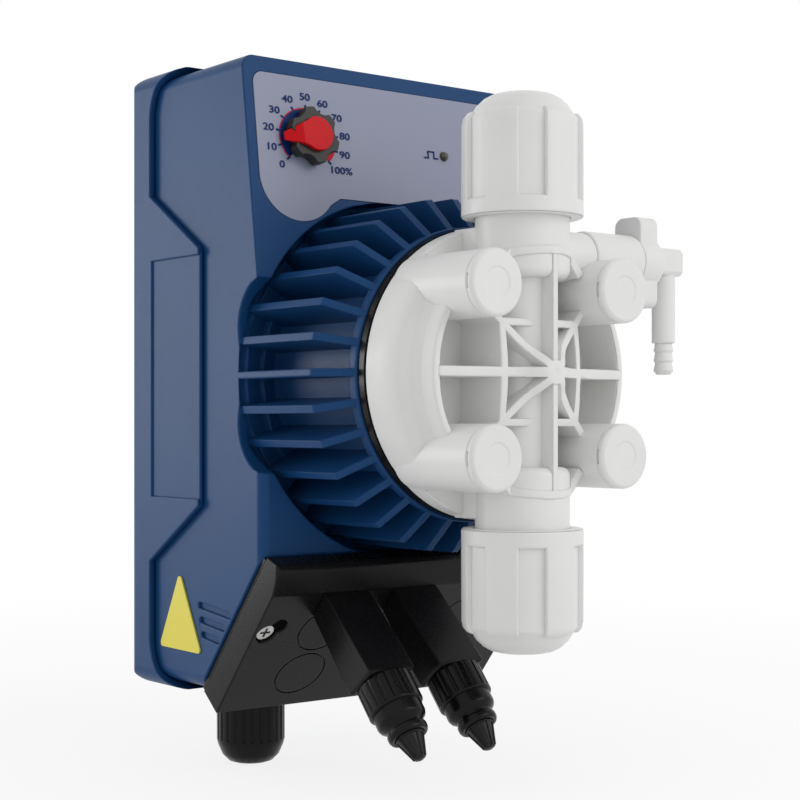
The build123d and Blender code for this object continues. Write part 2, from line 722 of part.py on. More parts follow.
def hose_clamp_ring(up):
    """Conical ring that grips the hose on the nipple."""
    def z(height):
        return HEAD_Z + up * height

    return turned_z([
        (4.6, z(59.6)), (6.4, z(59.6)), (8.9, z(63.0)), (8.9, z(73.3)), (HOSE_R + 0.3, z(73.3)),
        (HOSE_R + 0.05, z(64.0)),
    ], 0, VALVE_Y)


def valve_nut(up):
    """Union nut: six broad grip pads left between grooves, over a plain collar."""
    def z(height):
        return HEAD_Z + up * height

    nut = turned_z([
        (13.9, z(NUT_LOW)), (NUT_R - 0.4, z(NUT_LOW)), (NUT_R + 0.1, z(NUT_LOW + 0.5)),
        (NUT_R, z(50.0)), (NUT_R - 0.1, z(71.2)), (14.8, z(74.6)), (13.4, z(76.8)),
        (11.4, z(78.7)), (9.4, z(79.8)), (7.4, z(NUT_TOP)), (HOSE_R, z(NUT_TOP)),
        (HOSE_R, z(73.4)), (9.2, z(73.4)), (9.2, z(57.6)), (13.9, z(57.6)),
    ], 0, VALVE_Y)
    groove_outline = make_face(Polyline(
        (NUT_R - 1.5, 0, z(49.6)), (NUT_R + 2, 0, z(48.9)), (NUT_R + 2, 0, z(78)),
        (NUT_R - 1.5, 0, z(78)), close=True))
    groove = revolve(groove_outline, Axis.Z, GROOVE_ARC)
    first = VIEW_TURN + 30 - GROOVE_ARC / 2
    for number in range(6):
        nut -= at(0, VALVE_Y, 0) * Rot(0, 0, first + 60 * number) * groove
    return nut


# ---------------------------------------------------------------- bleed valve

def bleed_body():
    """Bush pressed in the head's branch; the knob's sleeve turns in it."""
    body = bar(6.0, 20.2, BLEED_FACE_X - 0.1, VALVE_Y, BLEED_Z)
    body -= bar(4.9, 19.0, 21.7, VALVE_Y, BLEED_Z)
    body -= bar(4.6 + RUN, 31.0, 60, VALVE_Y, BLEED_Z)
    body -= bar(SPOUT_TAIL_R + 0.1, 10, 40, VALVE_Y, BLEED_Z)
    return body


def bleed_ring():
    """O-ring between the branch's blind end and the bush."""
    return at(20.9, VALVE_Y, BLEED_Z) * Rot(0, 90, 0) * Torus(4.05, 0.78)


def bleed_handle():
    """Winged knob that turns about the branch to open the bleed."""
    hub = bar(7.8, BLEED_FACE_X + 0.2, BLEED_FACE_X + 9.0, VALVE_Y, BLEED_Z)
    hub = chamfer(hub.edges().filter_by(GeomType.CIRCLE).sort_by(Axis.X)[-1], 0.8)
    wing = Plane.YZ * Pos(VALVE_Y, BLEED_Z) * RectangleRounded(11.0, 27.5, 3.0)
    wings = at(BLEED_FACE_X + 0.2, 0, 0) * extrude(wing, 8.2)
    wings = chamfer(wings.edges().group_by(Axis.X)[-1], 1.0)
    handle = hub + wings
    handle += bar(4.6, 31.3, BLEED_FACE_X + 1, VALVE_Y, BLEED_Z)
    handle -= bar(SPOUT_TAIL_R + RUN, 10, 80, VALVE_Y, BLEED_Z)
    return handle


def bleed_spout():
    """Elbow with a three-ridge hose barb pointing down."""
    spout = bar(SPOUT_TAIL_R, 24.0, BLEED_FACE_X + 12, VALVE_Y, BLEED_Z)
    elbow = block(BLEED_FACE_X + 9.2, SPOUT_X + 4.6, VALVE_Y - 4.4, VALVE_Y + 4.4,
                  BLEED_Z - 3.4, BLEED_Z + 5.0)
    elbow = chamfer(elbow.edges().filter_by(Axis.X), 1.2)
    spout += chamfer(elbow.faces().sort_by(Axis.X)[-1].edges(), 0.6)
    spout += turned_z([(0, BLEED_Z), (3.6, BLEED_Z), (3.6, HEAD_Z + 10.4), (0, HEAD_Z + 10.4)],
                      SPOUT_X, VALVE_Y)
    top = HEAD_Z + 10.6
    pitch = 3.1
    teeth = [(0, top), (2.7, top)]
    for number in range(3):
        z = top - number * pitch
        teeth += [(2.6, z - 0.2), (3.05, z - pitch + 0.5), (2.6, z - pitch)]
    teeth += [(2.2, top - 3 * pitch - 0.6), (0, top - 3 * pitch - 0.6)]
    spout += turned_z(teeth, SPOUT_X, VALVE_Y)
    spout -= post(1.3, HEAD_Z - 5, BLEED_Z + 1.3, SPOUT_X, VALVE_Y)
    spout -= bar(1.3, 10, SPOUT_X, VALVE_Y, BLEED_Z)
    return spout


# ---------------------------------------------------------------- control panel

def on_panel(x, z, lift, sketch, height):
    """Extrude a sketch outwards from a lift above the panel face."""
    return extrude(panel_plane(x, z, lift) * sketch, height)


def panel_overlay():
    film = overlay_solid(0, 0.3)
    film -= on_panel(KNOB_X, KNOB_Z, -2, Circle(3.8), 6)
    film -= on_panel(LED_X, LED_Z, -2, Circle(1.6), 6)
    return film


def potentiometer():
    """Potentiometer body with its threaded bush through the panel."""
    body = on_panel(KNOB_X, KNOB_Z, -12.6, Circle(8.2), 9.4)
    body += on_panel(KNOB_X, KNOB_Z, -3.5, Circle(3.5), 4.7)
    body -= on_panel(KNOB_X, KNOB_Z, -10.0, Circle(3.0 + RUN), 20)
    return body


def dial_shaft():
    """Potentiometer shaft that carries the knob."""
    return on_panel(KNOB_X, KNOB_Z, -9.8, Circle(3.0), 14.2)


def pointer_solid(grow):
    """The pointer's teardrop: flat over the knob, then a tip that slopes to the scale."""
    turn = Rot(0, 0, POINTER_TURN)
    outline = Circle(POINTER_R + grow) + make_face(Polyline(
        (1.0, POINTER_R - 0.2 + grow), (POINTER_TIP + grow, 1.3 + grow),
        (POINTER_TIP + grow, -1.3 - grow), (1.0, -POINTER_R + 0.2 - grow), close=True))
    cap = extrude(panel_plane(KNOB_X, KNOB_Z, 1.2) * turn * outline, POINTER_TOP - 1.2)
    # Slope from the head's edge down to the tip, above and below
    side = make_face(Polyline(
        (-10, KNOB_TOP - grow), (5.0, KNOB_TOP - grow), (POINTER_TIP, 1.7 - grow),
        (POINTER_TIP + 1, 1.7 - grow), (POINTER_TIP + 1, 2.6), (POINTER_TIP, 2.6),
        (5.6, POINTER_TOP + grow), (-10, POINTER_TOP + grow), close=True))
    frame = panel_plane(KNOB_X, KNOB_Z).location * turn * Rot(90, 0, 0)
    return cap & (frame * extrude(side, 10, both=True))


def dial_knob():
    """Six-lobed grip, hollow below, round a hub that takes the shaft."""
    grip = Circle(KNOB_R)
    for number in range(6):
        grip -= Rot(0, 0, 60 * number + 10) * Pos(KNOB_R + 2.6, 0) * Circle(4.2)
    knob = on_panel(KNOB_X, KNOB_Z, 1.2, grip, KNOB_TOP - 1.2)
    knob += on_panel(KNOB_X, KNOB_Z, 1.2, Circle(7.2), 1.2)
    knob -= on_panel(KNOB_X, KNOB_Z, 1.0, Circle(5.9), 1.9)
    knob += on_panel(KNOB_X, KNOB_Z, 1.2, Circle(4.8), 2.0)
    knob -= on_panel(KNOB_X, KNOB_Z, 1.0, Circle(3.02), 3.6)
    return knob - pointer_solid(0.04)


def knob_pointer():
    """Red teardrop that lies on the knob and reads the scale."""
    return pointer_solid(0)


def led():
    """Status lamp with its domed end through the panel."""
    body = on_panel(LED_X, LED_Z, -8.0, Circle(2.2), 5.0)
    body += on_panel(LED_X, LED_Z, -4.0, Circle(1.5), 4.3)
    plane = panel_plane(LED_X, LED_Z, 0.3)
    return body + plane.location * Sphere(1.5)


def circuit_board():
    board = on_panel(-2, KNOB_Z - 1.0, -14.4, RectangleRounded(80, 27, 2), 1.6)
    for x in (-20, -8, 4, 16, 30):
        board += on_panel(x, KNOB_Z - 8.0, -17.5, Rectangle(7, 5), 3.2)
    for x in (-14, 34):
        board -= on_panel(x, KNOB_Z + 8.0, -16, Circle(1.6), 5)
    return board


def board_spacers():
    """Two pillars that hold the board off the panel's inner face."""
    pieces = []
    for x in (-14, 34):
        pillar = on_panel(x, KNOB_Z + 8.0, -12.7, Circle(2.6), 9.6)
        pillar += on_panel(x, KNOB_Z + 8.0, -15.6, Circle(1.45), 3.5)
        pieces.append(pillar)
    return Compound(pieces)


# ---------------------------------------------------------------- terminal lid

GASKET = 1.2


def lid_outline(inset):
    """Side outline of the lid: slope, crease, front band and roof."""
    low, high = lid_slope(GASKET)
    out_low, out_high = lid_slope(LID_THICK - inset)
    crease_share = 0.89
    crease = [out_low[i] + (out_high[i] - out_low[i]) * crease_share for i in (0, 1)]
    return [low, out_low, tuple(crease), (-91.0 + inset, 4.2), (-90.0 + inset, 6.0 - inset),
            (CASE_FRONT - 1.5, 8.0 - inset), high]


def terminal_lid():
    """Hollow wedge-shaped cover with knock-outs and two screw recesses."""
    lid = side_prism(lid_outline(0), LID_W)
    corner_cut = Pos(0, CASE_FRONT + 26.0) * RectangleRounded(LID_W, 70, 3.0)
    lid &= at(0, 0, -60) * extrude(corner_cut, 90)
    wall = 2.4
    hollow = side_prism([lid_slope(GASKET - 1)[0], lid_slope(LID_THICK - wall)[0],
                         lid_slope(LID_THICK - wall)[1], lid_slope(GASKET - 1)[1]], LID_W - 2 * wall)
    trim_low = slope_plane(0, 55.7 - 1.3, -2)
    hollow -= extrude(trim_low * Rectangle(120, 7.4), 20)
    trim_high = slope_plane(0, 4.0, -2)
    hollow -= extrude(trim_high * Rectangle(120, 9.0), 20)
    lid -= hollow
    for side in (-1, 1):
        plane = slope_plane(side * LID_SCREW_X, LID_SCREW_ALONG, GASKET)
        lid += extrude(plane * Circle(4.4), LID_THICK - GASKET - 0.5) & side_prism(lid_outline(0), LID_W)
        lid -= extrude(plane * Circle(1.9), 20)
        well = slope_plane(side * LID_SCREW_X, LID_SCREW_ALONG, LID_THICK - 3.2)
        lid -= extrude(well * Circle(3.4), 20)
        dimple = slope_plane(side * (LID_SCREW_X - 3.4), LID_SCREW_ALONG - 3.0, LID_THICK - 2.2)
        lid -= extrude(dimple * Circle(2.7), 20)
    for x, along in KNOCK_OUTS:
        ring = Circle(8.9) - Circle(8.35)
        lid -= extrude(slope_plane(x, along, LID_THICK - 0.5) * ring, 3)
    return lid


def lid_gasket():
    """Flat frame between the lid's rim and the housing."""
    frame = Rectangle(LID_W - 0.4, 54.6) - Rectangle(LID_W - 6.4, 45.0)
    gasket = extrude(slope_plane(0, 27.8, 0.05) * frame, GASKET - 0.1)
    for side in (-1, 1):
        gasket += extrude(slope_plane(side * LID_SCREW_X, LID_SCREW_ALONG, 0.05) * Circle(4.2), GASKET - 0.1)
        gasket -= extrude(slope_plane(side * LID_SCREW_X, LID_SCREW_ALONG, -1) * Circle(1.9), 5)
    return gasket


def lid_screws():
    """Two cross-head screws in the lid's recesses."""
    screws = []
    for side in (-1, 1):
        def stage(lift, radius, height):
            plane = slope_plane(side * LID_SCREW_X, LID_SCREW_ALONG, lift)
            return extrude(plane * Circle(radius), height)

        screw = stage(LID_THICK - 3.15, 2.9, 2.3) + stage(-8.5, 1.45, LID_THICK + 6)
        head = slope_plane(side * LID_SCREW_X, LID_SCREW_ALONG, LID_THICK - 2.0)
        screw -= extrude(head * (Rectangle(3.6, 0.8) + Rectangle(0.8, 3.6)), 3)
        screws.append(screw)
    return Compound(screws)


def terminal_block():
    """Row of screw terminals behind the lid."""
    plane = slope_plane(0, 27.0, -5.8)
    body = extrude(plane * Rectangle(66, 16), 11)
    for number in range(8):
        x = -28 + 8 * number
        body -= extrude(slope_plane(x, 24.0, 2.5) * Circle(2.2), 5)
        body -= extrude(slope_plane(x, 31.0, 2.0) * Rectangle(4.5, 4.0), 5)
    return body


# ---------------------------------------------------------------- cable entries

def connector_tip(x):
    """Plane at the end of a connector, its normal pointing out along the cable."""
    dip = radians(CONNECTOR_DIP)
    direction = Vector(0, -cos(dip), -sin(dip))
    return Plane(origin=(x, CONNECTOR_TIP[0], CONNECTOR_TIP[1]), x_dir=(1, 0, 0), z_dir=direction)


def on_connector(x, back, sketch, length):
    """Extrude a sketch along a connector's axis, starting a distance behind its tip."""
    return extrude(connector_tip(x).offset(-back) * sketch, length)


def turned_connector(x, points):
    """Solid of revolution about a connector's axis, from (radius, distance behind tip)."""
    outline = make_face(Polyline(*[(radius, 0, -back) for radius, back in points], close=True))
    return connector_tip(x).location * revolve(outline, Axis.Z, 360)


def connector_side(back, up):
    """Point (Y, Z) at a distance behind a connector's tip and above its axis."""
    dip = radians(CONNECTOR_DIP)
    return (CONNECTOR_TIP[0] + back * cos(dip) - up * sin(dip),
            CONNECTOR_TIP[1] + back * sin(dip) + up * cos(dip))


def signal_chutes():
    """Box-shaped spouts of the two signal connectors, standing on the lid below its crease."""
    crease = lid_outline(0)[2]
    profile = [crease, connector_side(CHUTE_END, CHUTE_HALF), connector_side(CHUTE_END, -CHUTE_HALF),
               connector_side(60, -CHUTE_HALF), (-70, 0)]
    low, high = lid_slope(LID_THICK + 0.05)
    behind = side_prism([low, high, (high[0] + 60, high[1] + 40), (low[0] + 60, low[1] + 10)], 120)
    chute = side_prism(profile, CHUTE_W) - behind
    end_edges = chute.faces().sort_by(Axis.Y)[0].edges()
    chute = fillet(end_edges, 1.2)
    chute -= on_connector(0, CHUTE_END + 8.0, Circle(4.6), 20)
    return Compound([at(x, 0, 0) * chute for x in CONNECTOR_X])


def signal_nuts():
    """Knurled gland nuts on the chutes."""
    ridges = 18
    pieces = []
    for x in CONNECTOR_X:
        nut = turned_connector(x, [
            (4.7, 26.3), (8.1, 26.3), (8.5, 25.9), (8.5, 17.0), (8.1, 16.6), (7.6, 16.6),
            (7.6, 13.4), (7.2, 12.4), (6.1, 11.4), (5.7, 11.0), (5.7, 10.2), (6.2, 9.8),
            (6.2, 8.4), (5.7, 7.5), (4.7, 7.5)])
        for number in range(ridges):
            spot = Rot(0, 0, 360 / ridges * number) * Pos(8.9, 0)
            nut -= on_connector(x, 27.0, spot * Circle(0.75), 9.4)
        pieces.append(nut)
    return Compound(pieces)


def signal_cones():
    """Rubber cone seals with ribs along them."""
    pieces = []
    for x in CONNECTOR_X:
        cone = turned_connector(x, [(0, 20.0), (4.5, 20.0), (4.5, 7.2), (3.9, 7.0), (1.6, 0.3),
                                    (1.2, 0), (0, 0)])
        rib_shape = make_face(Polyline((0, 0, -7.1), (4.4, 0, -7.1), (2.1, 0, -0.4), (0, 0, -0.4),
                                       close=True))
        rib_web = extrude(rib_shape, 0.35, dir=(0, 1, 0), both=True)
        for number in range(8):
            cone += connector_tip(x).location * Rot(0, 0, 45 * number) * rib_web
        pieces.append(cone)
    return Compound(pieces)


def gland_body():
    """Threaded body of the power cable gland, through the casing's floor."""
    floor = CASE_BOTTOM
    body = post(8.0, -48.0, -24.0, GLAND_X, GLAND_Y)
    flange = Pos(GLAND_X, GLAND_Y) * RegularPolygon(9.8, 6)
    body += at(0, 0, floor - 3.6) * extrude(flange, 3.5)
    body -= post(4.4, -49, -20, GLAND_X, GLAND_Y)
    body -= post(6.9, -49, -42.0, GLAND_X, GLAND_Y)
    return body


def gland_nut():
    """Domed and knurled compression nut."""
    ridges = 24
    nut = turned_z([
        (8.15, -38.9), (10.2, -38.9), (11.0, -39.7), (11.0, -54.8), (10.6, -56.4), (9.2, -59.6),
        (7.2, -61.6), (5.4, -62.2), (4.2, -62.2), (4.2, -60.0), (6.9, -56.0), (6.9, -48.2),
        (8.15, -48.2),
    ], GLAND_X, GLAND_Y)
    for number in range(ridges):
        turn = Rot(0, 0, 360 / ridges * number)
        nut -= at(GLAND_X, GLAND_Y, 0) * turn * post(0.62, -54.6, -38, 11.25, 0)
    return nut


def gland_seal():
    """Rubber sleeve squeezed round the cable."""
    return turned_z([
        (CABLE_R, -58.2), (5.2, -58.2), (6.75, -55.6), (6.75, -42.2), (CABLE_R, -42.2),
    ], GLAND_X, GLAND_Y)


def gland_locknut():
    nut = at(0, 0, -31.8) * extrude(Pos(GLAND_X, GLAND_Y) * RegularPolygon(9.9, 6), 4.0)
    return nut - post(8.1, -40, -20, GLAND_X, GLAND_Y)


PIECES = {
    "front_housing": front_housing,
    "rear_cover": rear_cover,
    "cover_screws": cover_screws,
    "housing_gasket": housing_gasket,
    "wall_bracket": wall_bracket,
    "bracket_screws": bracket_screws,
    "warning_triangle": warning_triangle,
    "solenoid_can": solenoid_can,
    "solenoid_back_plate": solenoid_back_plate,
    "coil_bobbin": coil_bobbin,
    "coil_winding": coil_winding,
    "pole_bush": pole_bush,
    "armature": armature,
    "plunger_shaft": plunger_shaft,
    "return_spring": return_spring,
    "head_inserts": head_inserts,
    "backplate": backplate,
    "diaphragm": diaphragm,
    "diaphragm_insert": diaphragm_insert,
    "pump_head": pump_head,
    "head_screws": head_screws,
    "boss_caps": boss_caps,
    "bleed_body": bleed_body,
    "bleed_ring": bleed_ring,
    "bleed_handle": bleed_handle,
    "bleed_spout": bleed_spout,
    "panel_overlay": panel_overlay,
    "potentiometer": potentiometer,
    "dial_shaft": dial_shaft,
    "dial_knob": dial_knob,
    "knob_pointer": knob_pointer,
    "status_led": led,
    "circuit_board": circuit_board,
    "board_spacers": board_spacers,
    "terminal_lid": terminal_lid,
    "lid_gasket": lid_gasket,
    "lid_screws": lid_screws,
    "terminal_block": terminal_block,
    "signal_chutes": signal_chutes,
    "signal_nuts": signal_nuts,
    "signal_cones": signal_cones,
    "gland_body": gland_body,
    "gland_nut": gland_nut,
    "gland_seal": gland_seal,
    "gland_locknut": gland_locknut,
}

os.makedirs("parts", exist_ok=True)
for node, make in PIECES.items():
    save(make(), node)
for name, up, base in (("discharge", 1, HEAD_Z + SEAT_BASE), ("suction", -1, HEAD_Z - NECK_TOP + 0.1)):
    save(valve_seat(base), f"{name}_seat")
    save(seat_ring(base), f"{name}_seat_ring")
    save(valve_ball(base), f"{name}_ball")
    save(valve_cage(base), f"{name}_cage")
    save(hose_nipple(up), f"{name}_nipple")
    save(hose_clamp_ring(up), f"{name}_clamp_ring")
    save(valve_nut(up), f"{name}_nut")
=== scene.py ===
import json
import math

import bmesh
import bpy
from mathutils import Matrix, Vector
from mathutils.bvhtree import BVHTree

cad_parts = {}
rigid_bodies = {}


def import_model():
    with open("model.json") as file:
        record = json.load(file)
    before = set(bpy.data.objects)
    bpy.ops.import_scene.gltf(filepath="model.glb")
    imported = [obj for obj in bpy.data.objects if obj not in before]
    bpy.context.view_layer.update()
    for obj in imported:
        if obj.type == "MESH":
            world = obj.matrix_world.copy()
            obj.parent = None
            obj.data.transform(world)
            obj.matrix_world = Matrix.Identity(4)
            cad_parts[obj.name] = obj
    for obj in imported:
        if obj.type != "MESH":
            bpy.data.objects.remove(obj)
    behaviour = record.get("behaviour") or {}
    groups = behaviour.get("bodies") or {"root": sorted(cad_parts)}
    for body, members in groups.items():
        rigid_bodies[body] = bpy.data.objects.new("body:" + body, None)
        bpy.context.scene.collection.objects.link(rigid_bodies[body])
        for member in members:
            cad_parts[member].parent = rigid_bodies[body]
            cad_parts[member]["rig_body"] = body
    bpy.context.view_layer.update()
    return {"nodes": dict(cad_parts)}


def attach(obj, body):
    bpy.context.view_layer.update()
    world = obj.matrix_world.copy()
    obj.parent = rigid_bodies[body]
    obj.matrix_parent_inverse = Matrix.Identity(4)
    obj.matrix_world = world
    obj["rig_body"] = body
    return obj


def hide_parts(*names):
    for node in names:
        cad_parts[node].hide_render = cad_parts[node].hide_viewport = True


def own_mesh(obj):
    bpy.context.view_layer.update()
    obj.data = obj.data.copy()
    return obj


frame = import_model()
nodes = frame["nodes"]
mm = 0.001
print("frame loaded:", len(nodes), "nodes")


# Camera, floor and lights

# place in mm, turn in degrees to the left of the front, lens and sensor in mm
cameraView = {"place": (-325.7, -497.5, 47.2), "turn": 38.03, "lens": 75.33, "sensor": 36,
              "shiftY": 0.0307, "nearest": 10}

cameraData = bpy.data.cameras.new("viewCamera")
cameraData.lens = cameraView["lens"]
cameraData.sensor_width = cameraView["sensor"]
cameraData.shift_y = cameraView["shiftY"]
cameraData.clip_start = cameraView["nearest"] * mm
camera = bpy.data.objects.new("viewCamera", cameraData)
camera.location = Vector(cameraView["place"]) * mm
camera.rotation_euler = (math.radians(90), 0, -math.radians(cameraView["turn"]))
bpy.context.scene.collection.objects.link(camera)
bpy.context.scene.camera = camera
bpy.context.scene.view_settings.view_transform = "Standard"


def linear(hexColor):
    # sRGB hex to the linear colour that the shaders use
    parts = [int(hexColor[i:i + 2], 16) / 255 for i in (1, 3, 5)]
    return tuple(c / 12.92 if c <= 0.04045 else ((c + 0.055) / 1.055) ** 2.4 for c in parts) + (1,)


def addNode(tree, kind, inputs=None, **settings):
    # inputs: socket name or number -> a value, or another node's output
    node = tree.nodes.new("ShaderNode" + kind)
    for key, value in settings.items():
        setattr(node, key, value)
    for key, value in (inputs or {}).items():
        if isinstance(value, bpy.types.NodeSocket):
            tree.links.new(value, node.inputs[key])
        else:
            node.inputs[key].default_value = value
    return node


def seenPlainly(tree):
    # 1 for what the camera, a gloss or a glass looks at, 0 for light that falls on the pump
    path = addNode(tree, "LightPath")
    direct = addNode(tree, "Math", {0: path.outputs["Is Camera Ray"],
                                    1: path.outputs["Is Glossy Ray"]}, operation="MAXIMUM")
    seen = addNode(tree, "Math", {0: direct.outputs[0], 1: path.outputs["Is Transmission Ray"]},
                   operation="MAXIMUM")
    return seen.outputs[0]


def setUpWorld():
    # white wherever the camera, a gloss or a glass looks; a plain level for soft light
    skyLook = {"white": 1.0, "soft": 0.64}
    world = bpy.data.worlds.new("studioWorld")
    bpy.context.scene.world = world
    world.use_nodes = True
    tree = world.node_tree
    tree.nodes.clear()
    level = addNode(tree, "MapRange", {0: seenPlainly(tree), 3: skyLook["soft"],
                                       4: skyLook["white"]})
    shade = addNode(tree, "Background", {"Color": (1, 1, 1, 1), "Strength": level.outputs[0]})
    output = tree.nodes.new("ShaderNodeOutputWorld")
    tree.links.new(shade.outputs[0], output.inputs[0])


def setUpFloor():
    # sizes in mm; the shadow fades out between the two distances from the middle
    floorLook = {"radius": 3000, "height": -62.6, "sides": 96, "color": "#f4f4f4",
                 "shadowShare": 0.16, "fadeFrom": 120, "fadeTo": 520}
    bm = bmesh.new()
    bmesh.ops.create_circle(bm, cap_ends=True, radius=floorLook["radius"] * mm,
                            segments=floorLook["sides"])
    bmesh.ops.translate(bm, vec=(0, 0, floorLook["height"] * mm), verts=bm.verts)
    mesh = bpy.data.meshes.new("studioFloor")
    bm.to_mesh(mesh)
    bm.free()
    floor = bpy.data.objects.new("studioFloor", mesh)
    bpy.context.scene.collection.objects.link(floor)

    # painted board: camera and gloss see it white, with a share of its own shadow
    paint = bpy.data.materials.new("paintedBoard")
    paint.use_nodes = True
    tree = paint.node_tree
    tree.nodes.clear()
    where = addNode(tree, "TexCoord")
    reach = addNode(tree, "VectorMath", {0: where.outputs["Object"]}, operation="LENGTH")
    fade = addNode(tree, "MapRange", {0: reach.outputs["Value"], 1: floorLook["fadeFrom"] * mm,
                                      2: floorLook["fadeTo"] * mm,
                                      3: floorLook["shadowShare"], 4: 0.0})
    white = addNode(tree, "Emission", {"Color": (1, 1, 1, 1), "Strength": 1.0})
    board = addNode(tree, "BsdfDiffuse", {"Color": linear(floorLook["color"])})
    soft = addNode(tree, "MixShader", {0: fade.outputs[0], 1: white.outputs[0],
                                       2: board.outputs[0]})
    shade = addNode(tree, "MixShader", {0: seenPlainly(tree), 1: board.outputs[0],
                                        2: soft.outputs[0]})
    output = addNode(tree, "OutputMaterial")
    tree.links.new(shade.outputs[0], output.inputs[0])
    mesh.materials.append(paint)


def addLamp(name, place, aim, size, power):
    # soft box: a square area lamp, place and aim in mm
    data = bpy.data.lights.new(name, "AREA")
    data.shape = "SQUARE"
    data.size = size * mm
    data.energy = power
    lamp = bpy.data.objects.new(name, data)
    lamp.location = Vector(place) * mm
    aimed = (Vector(aim) - Vector(place)).to_track_quat("-Z", "Y")
    lamp.rotation_euler = aimed.to_euler()
    bpy.context.scene.collection.objects.link(lamp)


setUpWorld()
setUpFloor()
pumpMiddle = (0, -60, 60)
addLamp("keyBox", (500, -1250, 650), pumpMiddle, size=900, power=4.8)
addLamp("rimBox", (-820, 960, 190), pumpMiddle, size=520, power=4.3)
print("camera, floor and lights done")


# Finishes

def newMaterial(name):
    material = bpy.data.materials.new(name)
    material.use_nodes = True
    tree = material.node_tree
    shader = tree.nodes["Principled BSDF"]
    return material, tree, shader


def surface(tree, shader, look, drift, grain, strength, smoother, rougher):
    # drift moves the tone between two colours; grain moves the gloss and lifts the relief
    tone = addNode(tree, "Mix", {0: drift, 6: linear(look["color"]), 7: linear(look["deep"])},
                   data_type="RGBA")
    tree.links.new(tone.outputs[2], shader.inputs["Base Color"])
    # noise rarely leaves 0.3 to 0.7, so that span is spread over the range of gloss
    gloss = addNode(tree, "MapRange", {0: grain, 1: 0.3, 2: 0.7, 3: look["rough"] - smoother,
                                       4: look["rough"] + rougher})
    tree.links.new(gloss.outputs[0], shader.inputs["Roughness"])
    rounded = addNode(tree, "Bevel", {"Radius": look["edge"] * mm}, samples=4)
    relief = addNode(tree, "Bump", {"Height": grain, "Normal": rounded.outputs[0],
                                    "Strength": strength, "Distance": look["relief"] * mm})
    tree.links.new(relief.outputs[0], shader.inputs["Normal"])


def mouldedPlastic(name, look):
    # color and deep are the two ends of the drift; drift, grain, relief and edge are in mm
    material, tree, shader = newMaterial(name)
    where = addNode(tree, "TexCoord").outputs["Object"]
    # slow drift of tone, as resin flow leaves it
    drift = addNode(tree, "TexNoise", {"Vector": where, "Scale": 1 / (look["drift"] * mm),
                                       "Detail": 3.0, "Roughness": 0.55})
    grain = addNode(tree, "TexNoise", {"Vector": where, "Scale": 1 / (look["grain"] * mm),
                                       "Detail": 2.0, "Roughness": 0.6})
    surface(tree, shader, look, drift.outputs["Fac"], grain.outputs["Fac"],
            strength=look["strength"], smoother=0.05, rougher=0.05)
    shader.inputs["IOR"].default_value = look["ior"]
    shader.inputs["Specular IOR Level"].default_value = look.get("shine", 0.3)
    return material


# glass-filled polypropylene, moulded in a spark-eroded tool: satin, deep blue, fine even grain
caseBlue = mouldedPlastic("mouldedBluePolypropylene", {
    "color": "#164475", "deep": "#133d6b", "drift": 30, "grain": 0.55, "relief": 0.05,
    "strength": 0.25, "rough": 0.42, "edge": 0.45, "ior": 1.49, "shine": 0.17})

# natural white PVDF, moulded in a polished tool: soft gloss, almost no grain
headWhite = mouldedPlastic("mouldedWhitePvdf", {
    "color": "#efefed", "deep": "#e6e6e5", "drift": 18, "grain": 0.8, "relief": 0.02,
    "strength": 0.15, "rough": 0.36, "edge": 0.5, "ior": 1.42})

# black ABS, spark-grained: darker gloss on a coarser grain
lidBlack = mouldedPlastic("mouldedBlackAbs", {
    "color": "#1a1a1b", "deep": "#141415", "drift": 20, "grain": 0.8, "relief": 0.01,
    "strength": 0.1, "rough": 0.27, "edge": 0.4, "ior": 1.53, "shine": 0.12})

# black polyamide for nuts and glands: shinier than the lid
nutBlack = mouldedPlastic("mouldedBlackPolyamide", {
    "color": "#111112", "deep": "#0b0b0c", "drift": 12, "grain": 0.5, "relief": 0.03,
    "strength": 0.25, "rough": 0.24, "edge": 0.3, "ior": 1.53, "shine": 0.14})

# EPDM rubber: dull, slightly dusty
sealRubber = mouldedPlastic("mouldedEpdmRubber", {
    "color": "#161617", "deep": "#101011", "drift": 8, "grain": 0.4, "relief": 0.03,
    "strength": 0.3, "rough": 0.34, "edge": 0.2, "ior": 1.52, "shine": 0.2})

# grey polyamide of the wall plate: matt, with a visible grain
bracketGrey = mouldedPlastic("mouldedGreyPolyamide", {
    "color": "#2c3038", "deep": "#262a31", "drift": 20, "grain": 0.6, "relief": 0.05,
    "strength": 0.3, "rough": 0.5, "edge": 0.4, "ior": 1.53})

# ABS of the knob: a warm black, duller than the lid
knobBlack = mouldedPlastic("mouldedWarmBlackAbs", {
    "color": "#2d2d2a", "deep": "#262624", "drift": 8, "grain": 0.4, "relief": 0.04,
    "strength": 0.3, "rough": 0.42, "edge": 0.25, "ior": 1.53})

# red ABS of the pointer, from a polished tool: even colour, soft gloss
pointerRed = mouldedPlastic("mouldedRedAbs", {
    "color": "#d3111c", "deep": "#c70e18", "drift": 6, "grain": 0.4, "relief": 0.02,
    "strength": 0.15, "rough": 0.34, "edge": 0.25, "ior": 1.53, "shine": 0.12})

# screen-printed polyester film: flat lavender grey with a very fine grain
filmGrey = mouldedPlastic("printedPolyesterFilm", {
    "color": "#9196ac", "deep": "#8c91a7", "drift": 40, "grain": 0.35, "relief": 0.02,
    "strength": 0.2, "rough": 0.4, "edge": 0.1, "ior": 1.57})

# enamelled plate: flat clear yellow, slightly glossy
plateYellow = mouldedPlastic("enamelledYellowPlate", {
    "color": "#e9dc4c", "deep": "#e4d643", "drift": 10, "grain": 0.5, "relief": 0.02,
    "strength": 0.15, "rough": 0.35, "edge": 0.2, "ior": 1.5})

